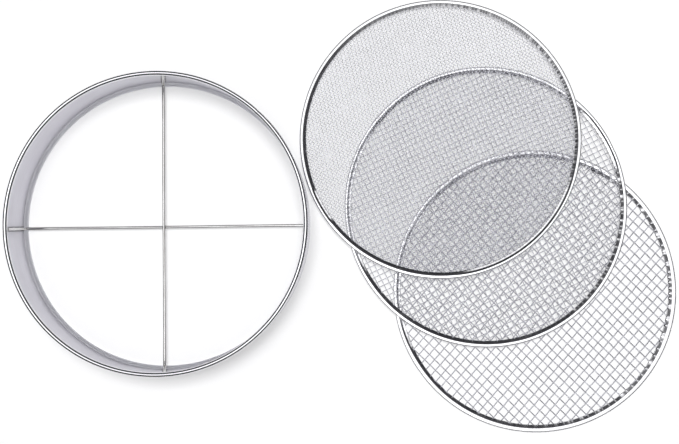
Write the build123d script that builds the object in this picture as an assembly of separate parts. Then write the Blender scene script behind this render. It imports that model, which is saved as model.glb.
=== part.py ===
from build123d import *
import math
import os

# Soil sieve: a sheet-steel hoop with rolled edges and a cross of two bent rods, and three
# interchangeable screens of woven wire, each held in a crimped rim. Millimetres, +Z up.
# The hoop stands empty on the floor. The coarse screen lies flat beside it, the medium screen
# leans on the coarse one and the fine screen leans on the medium one, like fanned cards.

# Hoop: one strip of sheet, curled inwards at both edges
HOOP_OUTER_R = 150.0
HOOP_HEIGHT = 65.0
HOOP_SHEET = 0.6
TOP_BEAD_R = 2.5  # radius of the round top edge
TOP_BEAD_PROUD = 1.0  # how far the top edge stands out past the wall
FOOT_BEAD_R = 2.25  # radius of the round bottom edge, flush with the wall outside
FOOT_FLAT_DEPTH = 0.1  # the bottom edge is pressed flat by this much, so that it stands firmly
HOOP_SEAM_AZIMUTH = 47.3  # butt joint of the strip, degrees from +X
HOOP_SEAM_WIDTH = 0.4
HOOP_SEAM_SKIN = 0.35  # thickness of the weld across the joint, outside

# Cross rods: each is bent into a wide U, and its legs are spot-welded inside the hoop
ROD_R = 1.5
ROD_BEND_R = 4.0
ROD_LEG_TOP = 56.0
WELD_GAP = 0.05
LOWER_ROD_FEET = (181.4, -0.1)  # azimuths of the two bends, degrees
UPPER_ROD_FEET = (91.35, -90.0)
LOWER_ROD_LEAN = -2.2  # how far the legs lean to the side, towards +Y
UPPER_ROD_LEAN = 9.3  # the same, towards +X

# Screens
SCREEN_R = 145.3
RIM_WIDTH = 5.5
RIM_HEIGHT = 4.5
RIM_SHEET = 0.5
RIM_SEAM_WIDTH = 0.4
CLAMP_GAP = 0.05  # between the rim's lips and the wires
LAYER_GAP = 0.01  # between the cloth's middle plane and each layer of wires
REST_GAP = 0.3  # between screens that rest on each other

# name: wire diameter, pitch, directions of the two sets of wires, azimuth of the rim's seam,
# and where the screen's centre lies beside the hoop's axis
SCREENS = {
    "coarse": (1.0, 7.67, (-44.5, 49.0), -147.5, (381.3, -67.6)),
    "medium": (0.8, 5.63, (-64.0, 25.7), 21.0, (330.9, 19.5)),
    "fine": (0.55, 2.81, (-32.2, 57.3), -35.0, (284.1, 89.7)),
}

HOOP_INNER_R = HOOP_OUTER_R - HOOP_SHEET
RIM_CURL_R = RIM_HEIGHT / 2  # the rim's round outer edge
RIDGE_R = SCREEN_R - RIM_CURL_R  # the rim is highest and lowest along this circle


def around(r, azimuth, z=0.0):
    """The point at radius r and an azimuth in degrees about the hoop's axis."""
    a = math.radians(azimuth)
    return Vector(r * math.cos(a), r * math.sin(a), z)


def make_hoop():
    """The strip in one section, from the outside of the wall over the top curl, down the inside
    of the wall and round the foot curl, turned about the axis up to the butt joint."""
    top = HOOP_OUTER_R + TOP_BEAD_PROUD - TOP_BEAD_R, HOOP_HEIGHT - TOP_BEAD_R
    foot = HOOP_OUTER_R - FOOT_BEAD_R, FOOT_BEAD_R - FOOT_FLAT_DEPTH
    top_inner_r, foot_inner_r = TOP_BEAD_R - HOOP_SHEET, FOOT_BEAD_R - HOOP_SHEET
    # angles at which the top curl's two faces leave the wall, and where its free end stops
    leave_outer = -math.degrees(math.acos((HOOP_OUTER_R - top[0]) / TOP_BEAD_R))
    leave_inner = -math.degrees(math.acos((HOOP_INNER_R - top[0]) / top_inner_r))
    top_end, foot_end = 280, 60
    # the foot curl's outer face is cut off flat at the floor
    flat = math.degrees(math.asin(foot[1] / FOOT_BEAD_R))
    arcs = [
        CenterArc(top, TOP_BEAD_R, leave_outer, top_end - leave_outer),
        CenterArc(top, top_inner_r, top_end, leave_inner - top_end),
        CenterArc(foot, foot_inner_r, 360, foot_end - 360),
        CenterArc(foot, FOOT_BEAD_R, foot_end, 180 + flat - foot_end),
        CenterArc(foot, FOOT_BEAD_R, -flat, flat),
    ]
    joins = [Line(one @ 1, other @ 0) for one, other in zip(arcs, arcs[1:] + arcs[:1])]
    section = make_face(arcs + joins)
    joint = math.degrees(HOOP_SEAM_WIDTH / HOOP_OUTER_R)
    strip = revolve(Plane.XZ * section, Axis.Z, 360 - joint)
    # the weld along the outer side of the joint, a little wider than the joint
    skin = Pos(HOOP_OUTER_R - HOOP_SEAM_SKIN, foot[1]) * Rectangle(
        HOOP_SEAM_SKIN, arcs[0].start_point().Y - foot[1], align=(Align.MIN, Align.MIN)
    )
    weld = Rot(0, 0, -2 * joint) * revolve(Plane.XZ * skin, Axis.Z, 3 * joint)
    return Rot(0, 0, HOOP_SEAM_AZIMUTH) * (strip + weld)


def make_rod(feet, z, lean):
    """A bent rod: a straight run from foot to foot at height z, and a leg up the wall at each end."""
    leg_r = HOOP_INNER_R - ROD_R - WELD_GAP
    foot_a, foot_b = (around(leg_r, azimuth, z) for azimuth in feet)

    def leg_top(foot):
        leaned = foot + lean
        return around(leg_r, math.degrees(math.atan2(leaned.Y, leaned.X)), ROD_LEG_TOP)

    route = FilletPolyline(leg_top(foot_a), foot_a, foot_b, leg_top(foot_b), radius=ROD_BEND_R)
    start = Plane(origin=route @ 0, z_dir=route % 0)
    return sweep(start * Circle(ROD_R), path=route)


def make_rim(wire_d, seam_azimuth):
    """A strip folded over the cloth's edge: round outside, with two lips that pinch the wires."""
    lip_r = SCREEN_R - RIM_WIDTH
    lip_z = wire_d + LAYER_GAP + CLAMP_GAP
    inside = RIM_CURL_R - RIM_SHEET
    section = make_face(
        [
            Polyline((RIDGE_R, inside), (lip_r, lip_z), (lip_r, lip_z + RIM_SHEET), (RIDGE_R, RIM_CURL_R)),
            CenterArc((RIDGE_R, 0), RIM_CURL_R, -90, 180),
            Polyline((RIDGE_R, -RIM_CURL_R), (lip_r, -lip_z - RIM_SHEET), (lip_r, -lip_z), (RIDGE_R, -inside)),
            CenterArc((RIDGE_R, 0), inside, -90, 180),
        ]
    )
    joint = math.degrees(RIM_SEAM_WIDTH / SCREEN_R)
    return Rot(0, 0, seam_azimuth) * revolve(Plane.XZ * section, Axis.Z, 360 - joint)


def make_wires(wire_d, pitch, direction, side):
    """One set of parallel wires of a cloth, on one side (+1 or -1) of its middle plane."""
    reach = RIDGE_R - RIM_SHEET  # the wires end inside the rim
    count = int((reach - pitch / 2) / pitch)
    wires = []
    for i in range(-count, count + 1):
        offset = i * pitch
        length = 2 * math.sqrt(reach**2 - offset**2)
        wire = Cylinder(wire_d / 2, length, rotation=(0, 90, 0))
        height = side * (wire_d / 2 + LAYER_GAP)
        wires.append(Rot(0, 0, direction) * Pos(0, offset, height) * wire)
    return wires


def leaning_plane(centre, lower_centre, lower_plane, wire_d):
    """The plane of a screen that rests on a lower one: its rim on the lower rim at the two
    crossings, and its cloth on the lower rim's near edge."""
    centre, lower_centre = Vector(*centre), Vector(*lower_centre)
    across = lower_centre - centre
    along = across.normalized()
    sideways = Vector(-along.Y, along.X) * math.sqrt(RIDGE_R**2 - (across.length / 2) ** 2)
    middle = centre + across / 2
    rim_on_rim = RIM_HEIGHT + REST_GAP
    cloth_on_rim = RIM_CURL_R + wire_d + LAYER_GAP + REST_GAP
    a, b, c = (
        Vector(p.X, p.Y, height_on(lower_plane, p) + lift)
        for p, lift in (
            (middle + sideways, rim_on_rim),
            (middle - sideways, rim_on_rim),
            (lower_centre - along * RIDGE_R, cloth_on_rim),
        )
    )
    normal = (b - a).cross(c - a).normalized()
    if normal.Z < 0:
        normal = -normal
    tilted = Plane(origin=a, z_dir=normal)
    origin = Vector(centre.X, centre.Y, height_on(tilted, centre))
    return Plane(origin=origin, x_dir=(1, 0, 0), z_dir=normal)


def height_on(plane, point):
    """The height of a plane above or below a point."""
    origin, normal = plane.origin, plane.z_dir
    return origin.Z - (normal.X * (point.X - origin.X) + normal.Y * (point.Y - origin.Y)) / normal.Z


def make_parts():
    foot_bead_top = 2 * FOOT_BEAD_R - FOOT_FLAT_DEPTH
    lower_z = foot_bead_top + WELD_GAP + ROD_R
    upper_z = lower_z + 2 * ROD_R + WELD_GAP
    parts = {
        "hoop": [make_hoop()],
        "cross_rod_lower": [make_rod(LOWER_ROD_FEET, lower_z, Vector(0, LOWER_ROD_LEAN))],
        "cross_rod_upper": [make_rod(UPPER_ROD_FEET, upper_z, Vector(UPPER_ROD_LEAN, 0))],
    }
    lower = None
    for name, (wire_d, pitch, directions, seam_azimuth, centre) in SCREENS.items():
        if lower is None:
            plane = Plane(origin=(*centre, RIM_CURL_R), x_dir=(1, 0, 0), z_dir=(0, 0, 1))
        else:
            plane = leaning_plane(centre, *lower, wire_d)
        place = plane.location
        warp = make_wires(wire_d, pitch, directions[0], 1)
        weft = make_wires(wire_d, pitch, directions[1], -1)
        parts[f"{name}_rim"] = [place * make_rim(wire_d, seam_azimuth)]
        parts[f"{name}_warp_wires"] = [place * wire for wire in warp]
        parts[f"{name}_weft_wires"] = [place * wire for wire in weft]
        lower = centre, plane
        print(f"{name} screen: centre height {plane.origin.Z:.2f}, {len(warp)} + {len(weft)} wires")
    return parts


parts = make_parts()

# The origin is the middle of the whole set's footprint, on the floor.
box = Compound([solid for group in parts.values() for solid in group]).bounding_box()
to_origin = Pos(-(box.min.X + box.max.X) / 2, -(box.min.Y + box.max.Y) / 2, 0)

os.makedirs("parts", exist_ok=True)
for name, group in parts.items():
    placed = [to_origin * solid for solid in group]
    shape = placed[0] if len(placed) == 1 else Compound(placed)
    shape.label = name
    export_step(shape, f"parts/{name}.step")

size = box.size
print(f"box {size.X:.2f} x {size.Y:.2f} x {size.Z:.2f}, lowest {box.min.Z:.3f}")
print(f"hoop axis at {to_origin.position.X:.3f}, {to_origin.position.Y:.3f}")
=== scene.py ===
import math

import bpy
import numpy as np
from mathutils import Euler, Matrix, Vector


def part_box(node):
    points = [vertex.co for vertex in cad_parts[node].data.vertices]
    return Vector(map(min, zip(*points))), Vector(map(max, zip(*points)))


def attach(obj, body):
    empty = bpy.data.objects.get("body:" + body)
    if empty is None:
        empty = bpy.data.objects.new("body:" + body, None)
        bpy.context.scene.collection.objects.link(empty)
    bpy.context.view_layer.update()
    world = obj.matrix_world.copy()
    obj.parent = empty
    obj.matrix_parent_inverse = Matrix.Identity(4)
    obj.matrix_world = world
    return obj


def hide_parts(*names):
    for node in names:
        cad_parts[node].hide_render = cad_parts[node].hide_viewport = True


# Looks of the soil sieve: the hoop with its cross of rods, and three screens of woven wire, built
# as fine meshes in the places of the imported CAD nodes. Shapes are worked out in millimetres.
MM = 0.001

# Hoop: one strip of sheet, curled inwards at both edges. Radii are from the hoop's axis.
HOOP_OUTER_R = 150.0
HOOP_SHEET = 0.6
TOP_BEAD_R = 2.5
TOP_BEAD_CENTRE = (148.5, 62.5)
TOP_BEAD_POWER = 1.7  # 2 would be a true round
FOOT_BEAD_R = 2.25
FOOT_BEAD_CENTRE = (147.75, 2.15)
FOOT_HEM_TOP = 6.6  # height of the strip's free edge above the foot bead
HOOP_SEAM_AZIMUTH = 47.3
HOOP_SEAM_WIDTH = 0.4
WELD_HEIGHTS = (19.0, 36.0, 52.0)  # spot welds along each leg of the rods

# Cross rods
ROD_R = 1.5
ROD_BEND_R = 4.0
ROD_LEG_R = 147.85
ROD_LEG_TOP = 56.0
RODS = {  # name: azimuths of the two bends, how far the legs lean in X and Y
    "lower": ((181.4, -0.1), (0.0, -2.2)),
    "upper": ((91.35, -90.0), (9.3, 0.0)),
}

# Screens
RIM_SHEET = 0.45
RIM_LIP_R = 139.8
RIM_LAP = 1.6  # degrees by which the strip's ends overlap at its joint
WIRE_REACH = 142.55  # the wires end inside the rim
LAYER_GAP = 0.01
SCREENS = {  # name: wire diameter, pitch, directions of warp and weft, azimuth of the rim's joint
    "coarse": (1.0, 7.67, (-44.5, 49.0), -147.5),
    "medium": (0.8, 5.63, (-64.0, 25.7), 21.0),
    "fine": (0.55, 2.81, (-32.2, 57.3), -35.0),
}
# How finely the wires are meshed: sides, steps from one crossing to the next, pieces per set
WIRE_MESH = {"coarse": (10, 8, 1), "medium": (8, 6, 1), "fine": (6, 5, 4)}
RIM_LIP_SHIFT = {"coarse": 0.8, "medium": 0.0, "fine": 0.0}  # how much further in the lip lies
# Where the rim's lip opens out into a flat flange: middle azimuth and half width, degrees
RIM_FLARES = {
    "coarse": ((170.0, 36.0),),
    "medium": ((30.0, 14.0), (178.0, 32.0)),
    "fine": ((-50.0, 32.0), (-150.0, 8.0)),
}

# Zones of the hoop's steel, in metres: where one ends and the next is fully there
BEAD_ZONE = (0.0588, 0.0602)  # heights
# the foot zone carries painted light: a pale band that lifts the shade of the hem groove
FOOT_ZONE = (0.0060, 0.0090)  # heights
INSIDE_ZONE = (0.1496, 0.1498)  # radii

# Spot welds and the painted shade in the crevices beside the legs, in millimetres
WELD_DENT, WELD_DENT_R = 0.16, 1.15
WELD_RING, WELD_RING_R, WELD_RING_WIDTH = 0.05, 2.0, 0.5
HEAT_R = 2.2
CREVICE_SHADE_DARKNESS = 0.97
CREVICE_SHADE_REACH, CREVICE_SHADE_FADE = 1.9, 0.9

# The weld along the outside of the hoop's joint
JOINT_WELD_HEIGHTS = (3.0, 59.0)
JOINT_WELD_DEPTH = 0.35
JOINT_WELD_RIPPLE = 0.9  # from one ripple to the next

# Studio, in metres
FLOOR_R = 12.0
FLOOR_DROP = 0.0001
FLOOR_GLOW = 0.34
CARD_HALF_WIDTH, CARD_HALF_DEPTH, CARD_HEIGHT = 0.54, 0.44, 0.20
SKY_HORIZON = (0.04, 0.04, 0.045, 1)
SKY_CEILING = (1.45, 1.45, 1.47, 1)
SKY_CENTRE = (3.6, 3.6, 3.6, 1)
BACKDROP = (0.80, 0.80, 0.81, 1)
SOFTBOX_AT = (-0.02, 0.44, 3.00)
SOFTBOX_SIZE = (0.90, 0.80)
SOFTBOX_POWER = 62.0

CAMERA_FROM_AXIS = (202.36, -38.08, 1018.29)
CAMERA_TURN = (0.0407, 0.0218, 0.0)
CAMERA_LENS = 51.84
CAMERA_SENSOR = 36.0
CAMERA_CLIP = (0.01, 50.0)


# ---------------------------------------------------------------- meshes

def piece(name, body, points, faces, material, stands_for=(), place=None, sharp=50.0):
    """A piece of the sieve. points is (n, 3) in mm, in the frame that place gives; faces is a list
    of arrays, each with the corners of one kind of polygon."""
    mesh = bpy.data.meshes.new(name)
    mesh.vertices.add(len(points))
    mesh.vertices.foreach_set("co", (np.asarray(points) * MM).astype(np.float32).ravel())
    corners = np.concatenate([np.asarray(f).ravel() for f in faces]).astype(np.int32)
    counts = np.concatenate([np.full(len(f), np.asarray(f).shape[1]) for f in faces])
    mesh.loops.add(len(corners))
    mesh.loops.foreach_set("vertex_index", corners)
    mesh.polygons.add(len(counts))
    mesh.polygons.foreach_set("loop_start", (np.cumsum(counts) - counts).astype(np.int32))
    mesh.polygons.foreach_set("use_smooth", np.ones(len(counts), bool))
    mesh.update(calc_edges=True)
    mesh.validate()
    mesh.set_sharp_from_angle(angle=math.radians(sharp))
    mesh.materials.append(material)
    obj = bpy.data.objects.new(name, mesh)
    bpy.context.scene.collection.objects.link(obj)
    obj.matrix_world = place or Matrix.Identity(4)
    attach(obj, body)
    if stands_for:
        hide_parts(*stands_for)
    return obj


def grid_faces(rows, cols):
    """Quads of a grid of points whose columns close on themselves."""
    i = np.arange(rows - 1)[:, None]
    j = np.arange(cols)[None, :]
    j2 = (j + 1) % cols
    quads = np.stack([i * cols + j, (i + 1) * cols + j, (i + 1) * cols + j2, i * cols + j2], -1)
    return quads.reshape(-1, 4)


def end_caps(rows, cols):
    """The two polygons that close the first and last row of a grid."""
    ring = np.arange(cols)
    return np.stack([ring, (rows - 1) * cols + ring[::-1]])


def unit(azimuth):
    """The outward direction at an azimuth in degrees, and the direction along the wall there."""
    a = math.radians(azimuth)
    c, s = math.cos(a), math.sin(a)
    return np.array([c, s, 0]), np.array([-s, c, 0])


def lathe(r, z, azimuths):
    """Points of a section turned about the Z axis. r and z are (azimuths, section points)."""
    a = np.radians(azimuths)[:, None]
    return np.stack([r * np.cos(a), r * np.sin(a), z], -1).reshape(-1, 3)


def arc(centre, radius, start, end, step=6.0):
    """Points on a circle from one angle to another, in degrees."""
    n = max(2, int(abs(end - start) / step) + 1)
    a = np.radians(np.linspace(start, end, n))
    return np.stack([centre[0] + radius * np.cos(a), centre[1] + radius * np.sin(a)], -1)


def resampled(path, positions):
    """Points on a path at the given lengths along it."""
    length = np.concatenate([[0], np.cumsum(np.linalg.norm(np.diff(path, axis=0), axis=1))])
    return np.stack([np.interp(positions, length, path[:, k]) for k in range(path.shape[1])], -1)


def path_length(path):
    return float(np.linalg.norm(np.diff(path, axis=0), axis=1).sum())


def softened(path, reach, spacing=0.05):
    """The path with its corners rounded over about the given reach."""
    fine = resampled(path, np.arange(0, path_length(path), spacing))
    half = int(3 * reach / spacing)
    weights = np.exp(-0.5 * (np.arange(-half, half + 1) * spacing / reach) ** 2)
    weights /= weights.sum()
    # beyond its ends the path goes on mirrored, so that the ends stay where they are
    before = 2 * fine[0] - fine[half:0:-1]
    after = 2 * fine[-1] - fine[-2 : -half - 2 : -1]
    longer = np.concatenate([before, fine, after])
    return np.stack([np.convolve(longer[:, k], weights, "valid") for k in range(2)], -1)


def sheet_section(middle, thickness):
    """The closed outline of a sheet whose middle line is given, with rounded cut edges."""
    along = np.gradient(middle, axis=0)
    along /= np.linalg.norm(along, axis=1)[:, None]
    across = np.stack([-along[:, 1], along[:, 0]], -1) * thickness / 2
    tips = []
    for end, way in ((-1, 1), (0, -1)):
        for turn in (45, 0, -45):
            c, s = math.cos(math.radians(turn)), math.sin(math.radians(turn))
            tips.append(middle[end] + way * (c * along[end] * thickness / 2 + s * across[end]))
    return np.concatenate([middle + across, tips[:3], (middle - across)[::-1], tips[3:]])


def blob(centre, axes, seed, rows=10, cols=16):
    """A small lump of weld metal: points and faces. axes are its three half sizes, as vectors."""
    rng = np.random.default_rng(seed)
    up = np.linspace(0.06, math.pi - 0.06, rows)[:, None]
    round_ = np.linspace(0, 2 * math.pi, cols, endpoint=False)[None, :]
    phase = rng.uniform(0, 2 * math.pi, 3)
    swell = 1 + 0.07 * np.sin(2 * round_ + phase[0]) * np.sin(up)
    swell = swell + 0.05 * np.sin(3 * round_ + phase[1]) * np.sin(2 * up + phase[2])
    ball = np.stack(
        [
            np.sin(up) * np.cos(round_),
            np.sin(up) * np.sin(round_),
            np.cos(up) * np.ones_like(round_),
        ],
        -1,
    )
    points = (ball * swell[..., None]).reshape(-1, 3) @ np.array(axes, float)
    points = points + np.array(centre, float)
    return points, [grid_faces(rows, cols)[:, ::-1], end_caps(rows, cols)[:, ::-1]]


def joined(parts):
    """Several (points, faces) as one."""
    points, faces, first = [], [], 0
    for p, f in parts:
        points.append(p)
        faces += [x + first for x in f]
        first += len(p)
    return np.concatenate(points), faces


def smooth_step(x):
    x = np.clip(x, 0, 1)
    return x * x * (3 - 2 * x)


def bump(x, width):
    """1 at zero, fading to nothing within a few widths."""
    return np.exp(-((x / width) ** 2))


# ---------------------------------------------------------------- materials

class Nodes:
    """Short names for making a node tree."""

    def __init__(self, tree):
        self.tree = tree
        tree.nodes.clear()

    def add(self, kind, inputs=(), **settings):
        node = self.tree.nodes.new(kind)
        for key, value in settings.items():
            setattr(node, key, value)
        for key, value in dict(inputs).items():
            self.set(node.inputs[key], value)
        return node

    def set(self, socket, value):
        if isinstance(value, bpy.types.NodeSocket):
            self.tree.links.new(value, socket)
        else:
            socket.default_value = value

    def object_point(self, scale):
        """The point on the piece in its own frame, stretched by three factors per metre."""
        coords = self.add("ShaderNodeTexCoord")
        mapping = self.add(
            "ShaderNodeMapping", {"Vector": coords.outputs["Object"], "Scale": scale}
        )
        return mapping.outputs["Vector"]

    def noise(self, scale, detail=3.0, roughness=0.55, distortion=0.0):
        node = self.add(
            "ShaderNodeTexNoise",
            {"Vector": self.object_point(scale), "Scale": 1.0, "Detail": detail,
             "Roughness": roughness, "Distortion": distortion},
        )
        return node.outputs["Fac"]

    def spread(self, value, low, high, from_low=0.3, from_high=0.7):
        node = self.add(
            "ShaderNodeMapRange",
            {"Value": value, "From Min": from_low, "From Max": from_high,
             "To Min": low, "To Max": high},
            clamp=True,
        )
        return node.outputs["Result"]

    def math(self, operation, a, b):
        node = self.add("ShaderNodeMath", operation=operation)
        self.set(node.inputs[0], a)
        self.set(node.inputs[1], b)
        return node.outputs[0]

    def mixed(self, factor, a, b):
        node = self.add("ShaderNodeMix", data_type="RGBA")
        self.set(node.inputs["Factor"], factor)
        self.set(node.inputs[6], a)
        self.set(node.inputs[7], b)
        return node.outputs[2]

    def bumped(self, height, strength, distance, normal=None):
        inputs = {"Height": height, "Strength": strength, "Distance": distance}
        if normal is not None:
            inputs["Normal"] = normal
        return self.add("ShaderNodeBump", inputs).outputs["Normal"]


def new_material(name):
    material = bpy.data.materials.new(name)
    material.use_nodes = True
    return material, Nodes(material.node_tree)


def steel(name, light, dark, rough, grain, grain_depth, blotch=60.0, speck=2500.0):
    """Stainless steel: two tones in soft blotches, fine lines along the way it was rolled or
    drawn, and a roughness that wanders. grain is the noise scale in X, Y and Z, per metre."""
    material, n = new_material(name)
    clouds = n.noise((blotch,) * 3, detail=4)
    lines = n.noise(grain, detail=5, roughness=0.65)
    specks = n.noise((speck,) * 3, detail=2)
    tone = n.math("ADD", n.math("MULTIPLY", clouds, 0.55), n.math("MULTIPLY", lines, 0.45))
    colour = n.mixed(n.spread(tone, 0.0, 1.0, 0.35, 0.65), (*dark, 1), (*light, 1))
    wear = n.math("ADD", n.math("MULTIPLY", lines, 0.6), n.math("MULTIPLY", clouds, 0.4))
    roughness = n.spread(wear, rough[0], rough[1], 0.35, 0.65)
    normal = n.bumped(lines, 0.35, grain_depth)
    normal = n.bumped(specks, 0.15, grain_depth * 0.6, normal)
    shader = n.add(
        "ShaderNodeBsdfPrincipled",
        {"Metallic": 1.0, "Base Color": colour, "Roughness": roughness, "Normal": normal},
    )
    out = n.add("ShaderNodeOutputMaterial")
    n.set(out.inputs["Surface"], shader.outputs[0])
    return material


def hoop_steel():
    """Satin sheet on the wall, polished where it is rolled into the top bead, with painted light
    along the foot inside as a pale matt band that lifts the shaded hem, a heat tint at the welds,
    and painted shade in the crevices beside the legs."""
    material, n = new_material("hoop_sheet_steel")
    coords = n.add("ShaderNodeTexCoord")
    axes = n.add("ShaderNodeSeparateXYZ", {"Vector": coords.outputs["Object"]})
    height = axes.outputs["Z"]
    top = n.spread(height, 0.0, 1.0, *BEAD_ZONE)
    across = n.add(
        "ShaderNodeVectorMath", {0: coords.outputs["Object"], 1: (1.0, 1.0, 0.0)},
        operation="MULTIPLY",
    )
    radius = n.add("ShaderNodeVectorMath", {0: across.outputs["Vector"]}, operation="LENGTH")
    inside = n.spread(radius.outputs["Value"], 1.0, 0.0, *INSIDE_ZONE)
    foot = n.math("MULTIPLY", n.spread(height, 1.0, 0.0, *FOOT_ZONE), inside)
    clouds = n.noise((14.0, 14.0, 20.0), detail=4)
    streaks = n.noise((9.0, 9.0, 900.0), detail=5, roughness=0.7)
    grain = n.noise((160.0, 160.0, 3500.0), detail=3)
    tone = n.math("ADD", n.math("MULTIPLY", clouds, 0.6), n.math("MULTIPLY", streaks, 0.4))
    wall_tone = n.spread(tone, 0.0, 1.0, 0.35, 0.65)
    wall = n.mixed(wall_tone, (0.52, 0.51, 0.56, 1), (0.66, 0.65, 0.70, 1))
    colour = n.mixed(top, wall, (0.80, 0.80, 0.82, 1))
    # painted light: the foot inside is made pale to lift the shade of the hem groove; it is also
    # made matt
    colour = n.mixed(foot, colour, (0.95, 0.95, 0.98, 1))
    heat = n.add("ShaderNodeAttribute", attribute_name="heat").outputs["Fac"]
    colour = n.mixed(n.spread(heat, 0.0, 0.8, 0.05, 0.9), colour, (0.40, 0.33, 0.27, 1))
    # painted shade: a near-black band in the crevices beside the legs stands in for their contact
    # shadow
    painted_crevice_shade = n.add("ShaderNodeAttribute", attribute_name="painted_crevice_shade").outputs["Fac"]
    colour = n.mixed(painted_crevice_shade, colour, (0.07, 0.07, 0.075, 1))
    matt = n.math("ADD", n.spread(tone, 0.16, 0.28, 0.35, 0.65), n.math("MULTIPLY", inside, 0.18))
    shiny = n.spread(grain, 0.10, 0.20, 0.35, 0.65)
    upper = n.add("ShaderNodeMix", {"Factor": top, "A": matt, "B": shiny}).outputs["Result"]
    roughness = n.add("ShaderNodeMix", {"Factor": foot, "A": upper, "B": 0.80}).outputs["Result"]
    normal = n.bumped(streaks, 0.25, 0.00004)
    normal = n.bumped(grain, 0.20, 0.00002, normal)
    shader = n.add(
        "ShaderNodeBsdfPrincipled",
        {"Metallic": 1.0, "Base Color": colour, "Roughness": roughness, "Normal": normal},
    )
    out = n.add("ShaderNodeOutputMaterial")
    n.set(out.inputs["Surface"], shader.outputs[0])
    return material


# ---------------------------------------------------------------- hoop and rods

def hoop_middle_line():
    """The middle line of the strip's section, from the free edge of the top curl to that of the
    foot curl, with more points where the sheet is curved or welded."""
    top_r, foot_r = TOP_BEAD_R - HOOP_SHEET / 2, FOOT_BEAD_R - HOOP_SHEET / 2
    wall_r = HOOP_OUTER_R - HOOP_SHEET / 2
    leave = -math.degrees(math.acos((wall_r - TOP_BEAD_CENTRE[0]) / top_r))
    top = arc(TOP_BEAD_CENTRE, top_r, 280, leave, 3) - TOP_BEAD_CENTRE
    # the rolled bead is a little flatter on its two flanks than a true round
    around = np.abs(top) / np.linalg.norm(top, axis=1)[:, None]
    flatter = (around**TOP_BEAD_POWER).sum(1) ** (-1 / TOP_BEAD_POWER)
    top = top * np.where(top[:, 1] > 0, flatter, 1.0)[:, None] + TOP_BEAD_CENTRE
    foot = arc(FOOT_BEAD_CENTRE, foot_r, 0, -268, 3)
    # past the bead the strip's free edge turns up and lies along the wall
    hem_r = wall_r - HOOP_SHEET - 0.04 - foot[-1, 0]
    hem = arc((foot[-1, 0], foot[-1, 1] + hem_r), hem_r, -90, 0, 10)
    foot = np.concatenate([foot, hem[1:], [[hem[-1, 0], FOOT_HEM_TOP]]])
    line = softened(np.concatenate([top, foot]), 0.4)
    total = path_length(line)
    wall_start, wall_end = path_length(top) + 1.2, total - path_length(foot) - 0.2
    # heights on the wall at which it has a row of points
    rows = set(np.round(np.linspace(5, 57, 12), 3))
    for weld in WELD_HEIGHTS:
        rows |= set(np.round(np.arange(weld - 2.8, weld + 2.81, 0.80), 3))
    lengths = np.concatenate([[0], np.cumsum(np.linalg.norm(np.diff(line, axis=0), axis=1))])
    on_wall = (lengths > wall_start) & (lengths < wall_end)
    at_height = np.interp(sorted(rows), line[on_wall][::-1, 1], lengths[on_wall][::-1])[::-1]
    positions = np.concatenate(
        [np.linspace(0, wall_start, 31), at_height, np.linspace(wall_end, total - 0.05, 28)]
    )
    return resampled(line, positions)


def leg_azimuth(foot, lean, height, run_height):
    """Azimuth in degrees at which a leaning leg crosses a height."""
    share = (height - run_height) / (ROD_LEG_TOP - run_height)
    a = math.radians(foot)
    x = ROD_LEG_R * math.cos(a) + lean[0] * share
    y = ROD_LEG_R * math.sin(a) + lean[1] * share
    return math.degrees(math.atan2(y, x))


def run_height(rod):
    """Height of a rod's straight run, from its CAD node."""
    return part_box(f"cross_rod_{rod}")[0].z / MM + ROD_R


def weld_places():
    """(azimuth, height) of every spot weld between the legs and the wall."""
    return [
        (leg_azimuth(foot, lean, height, run_height(rod)), height)
        for rod, (feet, lean) in RODS.items()
        for foot in feet
        for height in WELD_HEIGHTS
    ]


def turned_by(a, b):
    """Difference of two azimuths in degrees, from -180 to 180."""
    return (a - b + 180) % 360 - 180


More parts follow.
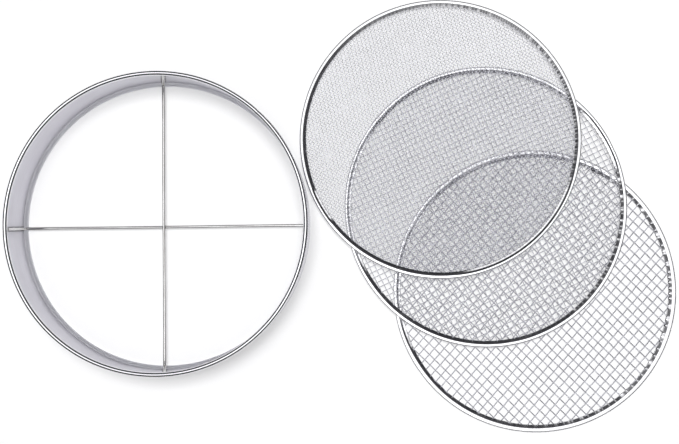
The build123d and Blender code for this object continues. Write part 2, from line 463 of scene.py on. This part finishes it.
def make_hoop(body, place, material):
    middle = hoop_middle_line()
    section = sheet_section(middle, HOOP_SHEET)
    half_gap = math.degrees(HOOP_SEAM_WIDTH / 2 / HOOP_OUTER_R)
    start, end = HOOP_SEAM_AZIMUTH + half_gap, HOOP_SEAM_AZIMUTH + 360 - half_gap
    steps = set(np.round(np.linspace(start, end, 361), 4))
    for azimuth, _ in weld_places():
        near = azimuth + np.arange(-1.4, 1.41, 0.28)
        steps |= set(np.round((near - start) % 360 + start, 4))
    steps |= {round(start + d, 4) for d in (0.1, 0.2)} | {round(end - d, 4) for d in (0.1, 0.2)}
    azimuths = np.array(sorted(s for s in steps if start <= s <= end))
    # steps closer than a quarter of the fine ones are merged
    azimuths = azimuths[np.concatenate([[True], np.diff(azimuths) > 0.03])]

    r = np.tile(section[:, 0], (len(azimuths), 1))
    z = np.tile(section[:, 1], (len(azimuths), 1))
    az = azimuths[:, None]
    # the roller leaves the top curl a hair smaller here and there, never larger
    wander = 0.5 + 0.25 * np.sin(np.radians(3 * az + 20)) + 0.25 * np.sin(np.radians(7 * az + 75))
    upper = smooth_step((z - 57) / 4)
    r -= 0.18 * wander * upper
    # the strip's two ends are drawn in a little beside the joint
    to_joint = np.minimum(az - start, end - az) * math.radians(1) * HOOP_OUTER_R
    r -= 0.16 * bump(to_joint, 1.6) * upper
    z -= 0.10 * bump(to_joint, 1.6) * smooth_step((z - 60) / 3)
    # spot welds dent the wall and leave a low ring and a heat tint
    heat = np.zeros_like(r)
    for azimuth, height in weld_places():
        across = turned_by(az, azimuth) * math.radians(1) * HOOP_OUTER_R
        away = np.sqrt(across**2 + (z - height) ** 2)
        on_wall = (r > 149.0) & (z > 6) & (z < 58)
        dent = -WELD_DENT * bump(away, WELD_DENT_R)
        r += np.where(on_wall, dent + WELD_RING * bump(away - WELD_RING_R, WELD_RING_WIDTH), 0)
        heat = np.maximum(heat, bump(away, HEAT_R) * on_wall)
    # painted shade: a near-black band in the narrow crevices beside the legs, where their contact
    # shadow falls
    painted_crevice_shade = np.zeros_like(r)
    for rod, (feet, lean) in RODS.items():
        low = run_height(rod)
        for foot in feet:
            ends = [leg_azimuth(foot, lean, h, low) for h in (low, ROD_LEG_TOP)]
            leg = np.interp(z, [low, ROD_LEG_TOP], ends)
            across = np.abs(turned_by(az, leg)) * math.radians(1) * HOOP_OUTER_R
            beside = 1 - smooth_step((across - CREVICE_SHADE_REACH) / CREVICE_SHADE_FADE)
            on_leg = (r > 149.0) & (r < 149.7) & (z > low - 1) & (z < ROD_LEG_TOP + 1)
            painted_crevice_shade = np.maximum(painted_crevice_shade, CREVICE_SHADE_DARKNESS * beside * on_leg)
    z = np.maximum(z, 0)

    rows, cols = r.shape
    hoop = piece(
        "hoop_sheet", body, lathe(r, z, azimuths), [grid_faces(rows, cols), end_caps(rows, cols)],
        material, ["hoop"], place,
    )
    for name, values in (("heat", heat), ("painted_crevice_shade", painted_crevice_shade)):
        attribute = hoop.data.attributes.new(name, "FLOAT", "POINT")
        attribute.data.foreach_set("value", values.astype(np.float32).ravel())
    return hoop


def make_joint_weld(body, place, material):
    """The weld along the outside of the hoop's joint: a low rippled bead, sunk into the gap."""
    low, high = JOINT_WELD_HEIGHTS
    heights = np.linspace(low, high, 226)
    across = np.linspace(-1, 1, 9)
    ripple = 0.5 + 0.5 * np.cos(2 * math.pi * heights / JOINT_WELD_RIPPLE)
    fade = smooth_step((heights - low) / 1.5) * smooth_step((high - heights) / 1.5)
    width = (0.75 + 0.10 * ripple + 0.05 * np.sin(heights * 0.7)) * (0.4 + 0.6 * fade)
    crown = (0.12 + 0.06 * ripple) * fade
    out_r = HOOP_OUTER_R - 0.02 + crown[:, None] * (1 - across**2)
    back_r = np.full_like(out_r, HOOP_OUTER_R - JOINT_WELD_DEPTH)
    r = np.concatenate([out_r, back_r[:, ::-1]], 1)
    shift = np.concatenate([across, across[::-1]])[None, :] * width[:, None]
    shift[:, len(across) :] *= 0.2
    a = np.radians(HOOP_SEAM_AZIMUTH) + shift / HOOP_OUTER_R
    z = np.tile(heights[:, None], (1, r.shape[1]))
    points = np.stack([r * np.cos(a), r * np.sin(a), z], -1).reshape(-1, 3)
    rows, cols = r.shape
    return piece(
        "hoop_joint_weld", body, points,
        [grid_faces(rows, cols)[:, ::-1], end_caps(rows, cols)[:, ::-1]],
        material, (), place,
    )


def filleted(points, radius, step=7.5):
    """A path of straight runs with each corner rounded to the radius."""
    out = [points[0]]
    for before, corner, after in zip(points, points[1:], points[2:]):
        u = (before - corner) / np.linalg.norm(before - corner)
        v = (after - corner) / np.linalg.norm(after - corner)
        half = math.acos(float(np.dot(u, v))) / 2
        centre = corner + (u + v) / np.linalg.norm(u + v) * radius / math.sin(half)
        first = corner + u * radius / math.tan(half) - centre
        last = corner + v * radius / math.tan(half) - centre
        turn = math.pi - 2 * half
        n = max(3, int(math.degrees(turn) / step))
        for k in range(n + 1):
            t = k / n
            swung = math.sin((1 - t) * turn) * first + math.sin(t * turn) * last
            out.append(centre + swung / math.sin(turn))
    out.append(points[-1])
    return np.array(out)


def make_rod(rod, body, place, material):
    """A bent rod: a run across the hoop and two legs up its wall, with sheared ends."""
    feet, lean = RODS[rod]
    z = run_height(rod)
    foot = [unit(a)[0] * ROD_LEG_R + [0, 0, z] for a in feet]
    tops = [
        unit(leg_azimuth(a, lean, ROD_LEG_TOP, z))[0] * ROD_LEG_R + [0, 0, ROD_LEG_TOP]
        for a in feet
    ]
    route = filleted([tops[0], foot[0], foot[1], tops[1]], ROD_BEND_R)
    total = path_length(route)
    run = np.linalg.norm(foot[1] - foot[0])
    leg = path_length(filleted([tops[0], foot[0], foot[1]], ROD_BEND_R)) - run
    ends = [0.0, 0.12, 0.35, 0.8]
    stops = np.concatenate(
        [ends, np.linspace(1.4, leg + 8, 150), np.linspace(leg + 9, total - leg - 9, 150)]
    )
    stops = np.concatenate([stops, (total - stops[:-150])[::-1]])
    line = resampled(route, stops)
    along = np.gradient(line, axis=0)
    along /= np.linalg.norm(along, axis=1)[:, None]
    # the run isn't quite straight
    sideways = np.cross([0, 0, 1.0], (foot[1] - foot[0]) / run)
    middle = smooth_step((stops - leg - 8) / 30) * smooth_step((total - leg - 8 - stops) / 30)
    line = line + (0.10 * np.sin(stops / 37.0) * middle)[:, None] * sideways

    sides = 28
    radius = np.full(len(stops), ROD_R)
    for k, trim in enumerate((0.30, 0.14, 0.04, 0.0)):
        radius[k] -= trim
        radius[-1 - k] -= trim
    # where a leg is welded to the wall it is pressed a little flat
    flat = np.zeros(len(stops))
    on_leg = (stops < leg - 4) | (stops > total - leg + 4)
    for height in WELD_HEIGHTS:
        flat += bump(line[:, 2] - height, 1.6) * on_leg
    # at the bend the inner side is squeezed
    for corner in foot:
        near = np.linalg.norm(line - corner, axis=1)
        flat += 0.8 * bump(near, 3.5)
    # ring axes: one square to the run's plane, one in it
    plane_normal = np.cross(foot[1] - foot[0], [0, 0, 1.0])
    plane_normal /= np.linalg.norm(plane_normal)
    a1 = plane_normal - along * (along @ plane_normal)[:, None]
    a1 /= np.linalg.norm(a1, axis=1)[:, None]
    a2 = np.cross(along, a1)
    phi = np.linspace(0, 2 * math.pi, sides, endpoint=False)
    wide, thin = radius * (1 + 0.05 * flat), radius * (1 - 0.07 * flat)
    points = (
        line[:, None, :]
        + (wide[:, None] * np.cos(phi))[..., None] * a1[:, None, :]
        + (thin[:, None] * np.sin(phi))[..., None] * a2[:, None, :]
    )
    rows = len(stops)
    return piece(
        f"cross_rod_{rod}_drawn", body, points.reshape(-1, 3),
        [grid_faces(rows, sides)[:, ::-1], end_caps(rows, sides)[:, ::-1]],
        material, [f"cross_rod_{rod}"], place,
    )


def make_rod_welds(body, place, material):
    """Lumps of weld metal at both sides of each spot weld, at the bends, and where the rods
    cross."""
    lumps, seed = [], 11
    wall_r = HOOP_OUTER_R - HOOP_SHEET
    for azimuth, height in weld_places():
        out, side = unit(azimuth)
        for way in (-1, 1):
            centre = out * (wall_r - 0.35) + side * way * 1.25 + np.array([0, 0, height])
            lumps.append(blob(centre, [out * 0.55, side * 0.7, [0, 0, 1.7]], seed))
            seed += 1
    for rod, (feet, _) in RODS.items():
        z = run_height(rod)
        for azimuth in feet:
            out, side = unit(azimuth)
            centre = out * (wall_r - 1.0) + side * 1.1 + np.array([0, 0, z + 1.2])
            lumps.append(blob(centre, [out * 1.1, side * 0.9, [0, 0, 1.5]], seed))
            seed += 1
    low, high = run_height("lower"), run_height("upper")
    crossing = rod_crossing()
    for way_x, way_y in ((-1, -1), (-1, 1), (1, -1), (1, 1)):
        centre = crossing + np.array([way_x * 1.2, way_y * 1.2, (low + high) / 2])
        lumps.append(blob(centre, [[0.8, 0, 0], [0, 0.8, 0], [0, 0, 0.75]], seed))
        seed += 1
    points, faces = joined(lumps)
    return piece("rod_weld_metal", body, points, faces, material, (), place)


def rod_crossing():
    """Where the two runs cross, seen from above."""
    ends = []
    for feet, _ in RODS.values():
        ends.append([unit(a)[0][:2] * ROD_LEG_R for a in feet])
    (a, b), (c, d) = ends
    t = np.linalg.solve(np.stack([b - a, c - d], 1), c - a)
    x, y = a + (b - a) * t[0]
    return np.array([x, y, 0.0])


# ---------------------------------------------------------------- screens

def screen_place(node):
    """The matrix of a screen's own frame: the middle of its cloth, with Z along its axis."""
    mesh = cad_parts[node].data
    co = np.zeros(len(mesh.vertices) * 3, np.float32)
    mesh.vertices.foreach_get("co", co)
    co = co.reshape(-1, 3).astype(float)
    low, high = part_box(node)
    slope = np.linalg.lstsq(np.c_[co[:, :2], np.ones(len(co))], co[:, 2], rcond=None)[0]
    x, y = (low.x + high.x) / 2, (low.y + high.y) / 2
    normal = Vector((-slope[0], -slope[1], 1)).normalized()
    x_axis = (Vector((1, 0, 0)) - normal * normal.x).normalized()
    y_axis = normal.cross(x_axis)
    turn = Matrix((x_axis, y_axis, normal)).transposed().to_4x4()
    return Matrix.Translation((x, y, slope @ [x, y, 1])) @ turn


def placed(points, place):
    """Points in mm moved from a screen's own frame to the shared one."""
    matrix = np.array(place)
    return points @ matrix[:3, :3].T + matrix[:3, 3] / MM


def directions(angle):
    """A set of wires' direction and the direction it is spaced in."""
    a = math.radians(angle)
    return np.array([math.cos(a), math.sin(a)]), np.array([-math.sin(a), math.cos(a)])


def make_cloth(screen, body, place, material):
    """Woven wire: each wire rises and falls half its thickness over and under the ones it
    crosses, and strays a little to the side as drawn wire does."""
    wire_d, pitch, angles, _ = SCREENS[screen]
    sides, steps, pieces = WIRE_MESH[screen]
    rise = wire_d / 2 + LAYER_GAP
    count = int((WIRE_REACH - pitch / 2) / pitch)
    phi = np.linspace(0, 2 * math.pi, sides, endpoint=False) + math.pi / sides
    rng = np.random.default_rng(len(screen) * 100 + count)
    for kind, side, (own, other) in (("warp", 1, angles), ("weft", -1, angles[::-1])):
        run, spaced = directions(own)
        crossed = directions(other)[1]
        bundles = [[] for _ in range(pieces)]
        for i in range(-count, count + 1):
            offset = i * pitch
            half = math.sqrt(WIRE_REACH**2 - offset**2) - abs(rng.normal(0, 0.15))
            n = max(6, int(2 * half / pitch * steps))
            s = np.linspace(-half, half, n)
            phase = math.pi * ((s * (run @ crossed) + offset * (spaced @ crossed)) / pitch + i)
            z = side * rise * np.cos(phase)
            slope = -side * rise * np.sin(phase) * math.pi * (run @ crossed) / pitch
            stray = rng.normal(0, 0.018 * pitch)
            across = offset + (
                stray + 0.020 * pitch * np.sin(s / rng.uniform(25, 60) + rng.uniform(0, 6.3))
            )
            x, y = (run[k] * s + spaced[k] * across for k in (0, 1))
            centre = np.stack([x, y, z], -1)
            norm = np.sqrt(1 + slope**2)
            up = np.stack([-slope / norm * run[0], -slope / norm * run[1], 1 / norm], -1)
            flat = np.array([spaced[0], spaced[1], 0.0])
            r = wire_d / 2
            points = (
                centre[:, None, :]
                + (r * np.cos(phi))[None, :, None] * flat
                + (r * np.sin(phi))[None, :, None] * up[:, None, :]
            )
            part = (points.reshape(-1, 3), [grid_faces(n, sides), end_caps(n, sides)])
            bundles[(i + count) * pieces // (2 * count + 1)].append(part)
        for k, bundle in enumerate(bundles):
            points, faces = joined(bundle)
            flat_faces = [np.concatenate(faces[::2]), np.concatenate(faces[1::2])]
            name = f"{screen}_cloth_{kind}" + (f"_{k + 1}" if pieces > 1 else "")
            piece(
                name, body, placed(points, place), flat_faces, material,
                [f"{screen}_{kind}_wires"], sharp=60.0,
            )


def wires_at_lip(screen, azimuths):
    """For each azimuth, how much the lip is lifted by a wire under it, from 0 to 1."""
    wire_d, pitch, angles, _ = SCREENS[screen]
    count = int((WIRE_REACH - pitch / 2) / pitch)
    lifted = np.zeros(len(azimuths))
    for angle in angles:
        for i in range(-count, count + 1):
            share = i * pitch / RIM_LIP_R
            if abs(share) >= 0.995:
                continue
            lean = math.degrees(math.asin(share))
            # a wire that runs in at a slant is under more of the lip
            slant = max(0.35, math.cos(math.radians(lean)))
            width = math.degrees(wire_d * 0.75 / RIM_LIP_R) / slant
            for azimuth in (angle + lean, angle + 180 - lean):
                lifted = np.maximum(lifted, bump(turned_by(azimuths, azimuth), width))
    return lifted


def spline_weights(controls, samples):
    """Weights of a cubic B-spline that starts and ends at its first and last control points."""
    t = np.linspace(0, controls + 1 - 1e-9, samples)
    k = t.astype(int)
    f = t - k
    basis = [(1 - f) ** 3, 3 * f**3 - 6 * f**2 + 4, -3 * f**3 + 3 * f**2 + 3 * f + 1, f**3]
    basis = np.stack(basis, -1) / 6
    weights = np.zeros((samples, controls))
    for j in range(4):
        # the end points count three times
        at = np.clip(k + j - 2, 0, controls - 1)
        np.add.at(weights, (np.arange(samples), at), basis[:, j])
    return weights


# The rim's section above the cloth, from its outermost circle inwards: radius, height where the
# lip slopes down to the cloth, and height where it lies out flat as a flange
RIM_SECTION = np.array([
    (145.30, 0.00, 0.00), (145.30, 0.80, 0.80), (145.27, 1.50, 1.50), (144.95, 2.00, 2.00),
    (144.30, 2.22, 2.22), (143.60, 2.25, 2.25), (142.90, 2.25, 2.22), (142.30, 2.21, 2.02),
    (141.80, 1.99, 1.42), (141.20, 1.66, 1.05), (140.55, 1.30, 0.98), (139.90, 0.94, 0.99),
    (139.30, 0.61, 0.98), (138.75, 0.31, 0.92), (138.55, 0.24, 0.86),
])


def make_rim(screen, body, place, material):
    """A strip folded over the cloth's edge: a firm ridge outside, and lips that slope down to the
    cloth or lie out flat, pressed in between the wires. One end is tucked in at the joint."""
    wire_d, _, _, joint = SCREENS[screen]
    azimuths = np.linspace(joint, joint + 360 + RIM_LAP, 1400)
    az = azimuths[:, None]
    flare = 0.10 * np.sin(np.radians(9 * az)) * np.sin(np.radians(4 * az + 60))
    for flare_at, flare_half in RIM_FLARES[screen]:
        beyond = np.abs(turned_by(az, flare_at)) - flare_half * 0.7
        flare = flare + 1 - smooth_step(beyond / (flare_half * 0.5))
    flare = np.clip(flare, 0, 1)
    lifted = wires_at_lip(screen, azimuths)[:, None]
    tuck = 1 - smooth_step((az - joint) / 9.0)
    wave = 0.5 + 0.3 * np.sin(np.radians(5 * az + 40)) + 0.2 * np.sin(np.radians(11 * az))

    radius, sloped, flat = RIM_SECTION.T
    inward = np.clip((142.0 - radius) / 3.4, 0, 1)
    flange_drop = (1.0 - wire_d) * inward
    z = sloped * (1 - flare) + (flat - flange_drop) * flare
    # the wires show through the lips most on the right, and least on the left
    press = 0.15 + 0.85 * (0.5 + 0.5 * np.cos(np.radians(az - 15))) ** 2
    over_wire = (1.05 - 0.65 * flare) * press * lifted - 0.30 * flare * (1 - lifted)
    z = z + inward**1.5 * wire_d * over_wire - 0.05 * wave * (radius < 145)
    r = radius - 0.02 - 0.05 * wave + 0.25 * wave * inward
    r = r - RIM_LIP_SHIFT[screen] * smooth_step((143.4 - radius) / 1.2)
    # the tucked end is a strip's thickness smaller
    z = z - 0.26 * tuck * np.clip(z / 1.5, 0, 1)
    r = r - 0.26 * tuck * np.clip((radius - 143) / 2, 0, 1)

    controls_r = np.concatenate([r[:, :0:-1], r], 1)
    controls_z = np.concatenate([-z[:, :0:-1], z], 1)
    weights = spline_weights(controls_r.shape[1], 41)
    r, z = controls_r @ weights.T, controls_z @ weights.T
    dr, dz = np.gradient(r, axis=1), np.gradient(z, axis=1)
    norm = np.sqrt(dr**2 + dz**2) + 1e-9
    depth = RIM_SHEET - 0.25 * smooth_step((141.5 - r) / 2.5)
    back_r, back_z = (r - depth * dz / norm)[:, ::-2], (z + depth * dr / norm)[:, ::-2]
    tip_r = [((r[:, k] + back_r[:, j]) / 2 - 0.08)[:, None] for k, j in ((-1, 0), (0, -1))]
    tip_z = [((z[:, k] + back_z[:, j]) / 2)[:, None] for k, j in ((-1, 0), (0, -1))]
    r = np.concatenate([r, tip_r[0], back_r, tip_r[1]], 1)
    z = np.concatenate([z, tip_z[0], back_z, tip_z[1]], 1)
    rows, cols = r.shape
    return piece(
        f"{screen}_rim_strip", body, placed(lathe(r, z, azimuths), place),
        [grid_faces(rows, cols), end_caps(rows, cols)], material, [f"{screen}_rim"],
    )


# ---------------------------------------------------------------- studio

def make_floor():
    """A wide plain floor that glows a little."""
    material, n = new_material("studio_floor")
    fine = n.noise((400.0,) * 3, detail=3)
    colour = n.mixed(fine, (0.59, 0.59, 0.593, 1), (0.61, 0.61, 0.612, 1))
    shader = n.add(
        "ShaderNodeBsdfPrincipled",
        {"Base Color": colour, "Roughness": 0.9, "Specular IOR Level": 0.1,
         "Emission Color": (1.0, 1.0, 1.0, 1), "Emission Strength": FLOOR_GLOW},
    )
    n.set(n.add("ShaderNodeOutputMaterial").inputs["Surface"], shader.outputs[0])
    mesh = bpy.data.meshes.new("floor")
    turn = np.linspace(0, 2 * math.pi, 64, endpoint=False)
    ring = [(FLOOR_R * math.cos(a), FLOOR_R * math.sin(a), 0) for a in turn]
    mesh.from_pydata(ring, [], [tuple(range(len(ring)))])
    mesh.materials.append(material)
    floor = bpy.data.objects.new("floor", mesh)
    bpy.context.scene.collection.objects.link(floor)
    floor.location.z = -FLOOR_DROP


def make_flags():
    """A dark band round the sieve, seen only in the reflections of its metal, as a photographer's
    black cards are."""
    material, n = new_material("black_card")
    shader = n.add(
        "ShaderNodeBsdfPrincipled", {"Base Color": (0.015, 0.015, 0.017, 1), "Roughness": 0.9}
    )
    n.set(n.add("ShaderNodeOutputMaterial").inputs["Surface"], shader.outputs[0])
    turn = np.linspace(0, 2 * math.pi, 96, endpoint=False)
    points = [
        (CARD_HALF_WIDTH * math.cos(a), CARD_HALF_DEPTH * math.sin(a), z)
        for z in (0.0, CARD_HEIGHT)
        for a in turn
    ]
    mesh = bpy.data.meshes.new("flags")
    mesh.from_pydata(points, [], [tuple(q) for q in grid_faces(2, len(turn))])
    mesh.materials.append(material)
    flags = bpy.data.objects.new("flags", mesh)
    bpy.context.scene.collection.objects.link(flags)
    flags.visible_camera = flags.visible_diffuse = flags.visible_shadow = False
    flags.visible_transmission = flags.visible_volume_scatter = False


def make_world():
    """A bright ceiling and a dim horizon; the camera itself sees a pale backdrop."""
    world = bpy.data.worlds.new("studio")
    bpy.context.scene.world = world
    world.use_nodes = True
    n = Nodes(world.node_tree)
    coords = n.add("ShaderNodeTexCoord")
    up = n.add("ShaderNodeSeparateXYZ", {"Vector": coords.outputs["Generated"]}).outputs["Z"]
    colour = SKY_HORIZON
    for low, high, above in ((0.72, 0.97, SKY_CEILING), (0.975, 0.998, SKY_CENTRE)):
        ramp = n.add(
            "ShaderNodeMapRange", {"Value": up, "From Min": low, "From Max": high},
            interpolation_type="SMOOTHSTEP",
        )
        colour = n.mixed(ramp.outputs["Result"], colour, above)
    seen = n.add("ShaderNodeLightPath").outputs["Is Camera Ray"]
    colour = n.mixed(seen, colour, BACKDROP)
    background = n.add("ShaderNodeBackground", {"Color": colour, "Strength": 1.0})
    n.set(n.add("ShaderNodeOutputWorld").inputs["Surface"], background.outputs[0])


def make_softbox():
    """A softbox high above the sieve, turned to it and not seen in reflections."""
    light = bpy.data.lights.new("softbox_high", "AREA")
    light.shape = "RECTANGLE"
    light.size, light.size_y = SOFTBOX_SIZE
    light.energy = SOFTBOX_POWER
    obj = bpy.data.objects.new("softbox_high", light)
    bpy.context.scene.collection.objects.link(obj)
    obj.location = SOFTBOX_AT
    obj.rotation_mode = "QUATERNION"
    obj.rotation_quaternion = (-Vector(SOFTBOX_AT)).to_track_quat("-Z", "Y")
    obj.visible_glossy = False


def make_camera():
    data = bpy.data.cameras.new("camera")
    data.lens = CAMERA_LENS
    data.sensor_width = CAMERA_SENSOR
    data.clip_start, data.clip_end = CAMERA_CLIP
    camera = bpy.data.objects.new("camera", data)
    bpy.context.scene.collection.objects.link(camera)
    camera.location = hoop_axis + Vector(CAMERA_FROM_AXIS) * MM
    camera.rotation_euler = Euler(CAMERA_TURN, "XYZ")
    return camera


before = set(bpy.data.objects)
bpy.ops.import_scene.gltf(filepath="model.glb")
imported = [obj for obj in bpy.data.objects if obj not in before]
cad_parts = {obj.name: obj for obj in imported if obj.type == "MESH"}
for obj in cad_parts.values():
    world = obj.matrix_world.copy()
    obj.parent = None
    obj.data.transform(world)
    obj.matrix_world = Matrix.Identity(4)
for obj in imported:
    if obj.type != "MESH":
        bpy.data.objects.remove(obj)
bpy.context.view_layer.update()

hoop_low, hoop_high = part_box("hoop")
hoop_axis = Vector(((hoop_low.x + hoop_high.x) / 2, (hoop_low.y + hoop_high.y) / 2, 0))
hoop_place = Matrix.Translation(hoop_axis)

weld_steel = steel(
    "weld_metal", (0.62, 0.60, 0.58), (0.42, 0.38, 0.35), (0.30, 0.50),
    (900.0, 900.0, 900.0), 0.00005, blotch=300.0,
)
# the drawing lines of each rod run along it
rod_steels = {
    rod: steel(
        name, (0.70, 0.70, 0.70), (0.54, 0.53, 0.52), (0.10, 0.18), grain, 0.000008,
    )
    for rod, name, grain in (
        ("lower", "rod_steel_x", (25.0, 1200.0, 1200.0)),
        ("upper", "rod_steel_y", (1200.0, 25.0, 1200.0)),
    )
}
rim_steel = steel(
    "rim_strip_steel", (0.86, 0.86, 0.87), (0.72, 0.72, 0.74), (0.14, 0.28),
    (60.0, 60.0, 900.0), 0.00004,
)
wire_steels = {
    screen: steel(
        f"{screen}_wire_steel", light, dark, rough, (700.0, 700.0, 700.0), depth, blotch=45.0
    )
    for screen, light, dark, rough, depth in (
        ("coarse", (0.74, 0.74, 0.79), (0.54, 0.54, 0.59), (0.16, 0.28), 0.00001),
        ("medium", (0.86, 0.86, 0.91), (0.66, 0.66, 0.71), (0.16, 0.26), 0.000008),
        ("fine", (0.90, 0.90, 0.96), (0.74, 0.74, 0.80), (0.20, 0.30), 0.000005),
    )
}

make_hoop("sieve_frame", hoop_place, hoop_steel())
make_joint_weld("sieve_frame", hoop_place, weld_steel)
for rod in RODS:
    make_rod(rod, "sieve_frame", hoop_place, rod_steels[rod])
make_rod_welds("sieve_frame", hoop_place, weld_steel)
for screen in SCREENS:
    place = screen_place(f"{screen}_rim")
    make_rim(screen, f"{screen}_screen", place, rim_steel)
    make_cloth(screen, f"{screen}_screen", place, wire_steels[screen])

make_floor()
make_world()
make_flags()
make_softbox()
bpy.context.scene.camera = make_camera()
bpy.context.scene.view_settings.view_transform = "Standard"
